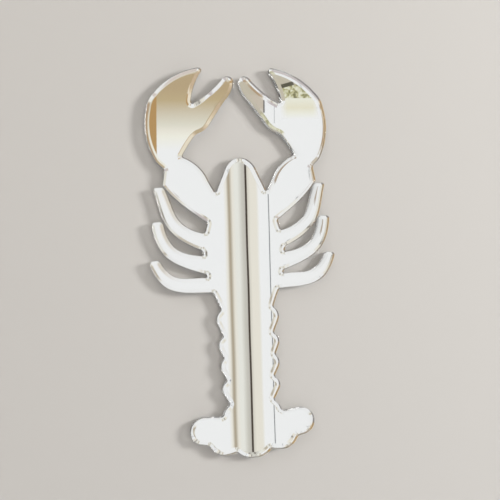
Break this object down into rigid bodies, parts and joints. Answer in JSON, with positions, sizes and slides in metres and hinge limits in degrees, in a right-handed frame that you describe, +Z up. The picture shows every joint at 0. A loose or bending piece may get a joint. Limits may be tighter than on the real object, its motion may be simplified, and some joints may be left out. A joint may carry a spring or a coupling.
{
  "type": "wall mirror",
  "caption": "Lobster-shaped wall mirror: a flat plate of mirrored acrylic, laser-cut to a lobster's outline and stuck to a wall by double-sided foam pads.",
  "frame": {"origin": "on the wall, in the middle of the wall side of the thorax pad, half-way up the lobster", "axes": "+Z up the wall from the tail fan to the claws; +X to the right of someone looking at the mirror; +Y into the wall, so the mirror faces -Y"},
  "size_m": [0.0976, 0.0047, 0.1998],
  "materials": {
    "clear_acrylic": "clear cast acrylic with a polished face and laser-cut edges",
    "mirror_coating": "vacuum-deposited aluminium behind the clear sheet",
    "grey_lacquer": "sprayed grey protective lacquer, satin, with a faint orange peel",
    "white_foam": "white closed-cell polyethylene foam",
    "adhesive": "clear tacky acrylic adhesive"
  },
  "bodies": {
    "root": {"acrylic_sheet": "clear_acrylic", "mirror_coating": "mirror_coating", "backing_lacquer": "grey_lacquer", "left_claw_pad_wall_adhesive": "adhesive", "left_claw_pad_foam": "white_foam", "left_claw_pad_mirror_adhesive": "adhesive", "right_claw_pad_wall_adhesive": "adhesive", "right_claw_pad_foam": "white_foam", "right_claw_pad_mirror_adhesive": "adhesive", "head_pad_wall_adhesive": "adhesive", "head_pad_foam": "white_foam", "head_pad_mirror_adhesive": "adhesive", "thorax_pad_wall_adhesive": "adhesive", "thorax_pad_foam": "white_foam", "thorax_pad_mirror_adhesive": "adhesive", "tail_pad_wall_adhesive": "adhesive", "tail_pad_foam": "white_foam", "tail_pad_mirror_adhesive": "adhesive", "fan_pad_wall_adhesive": "adhesive", "fan_pad_foam": "white_foam", "fan_pad_mirror_adhesive": "adhesive"}
  },
  "joints": []
}
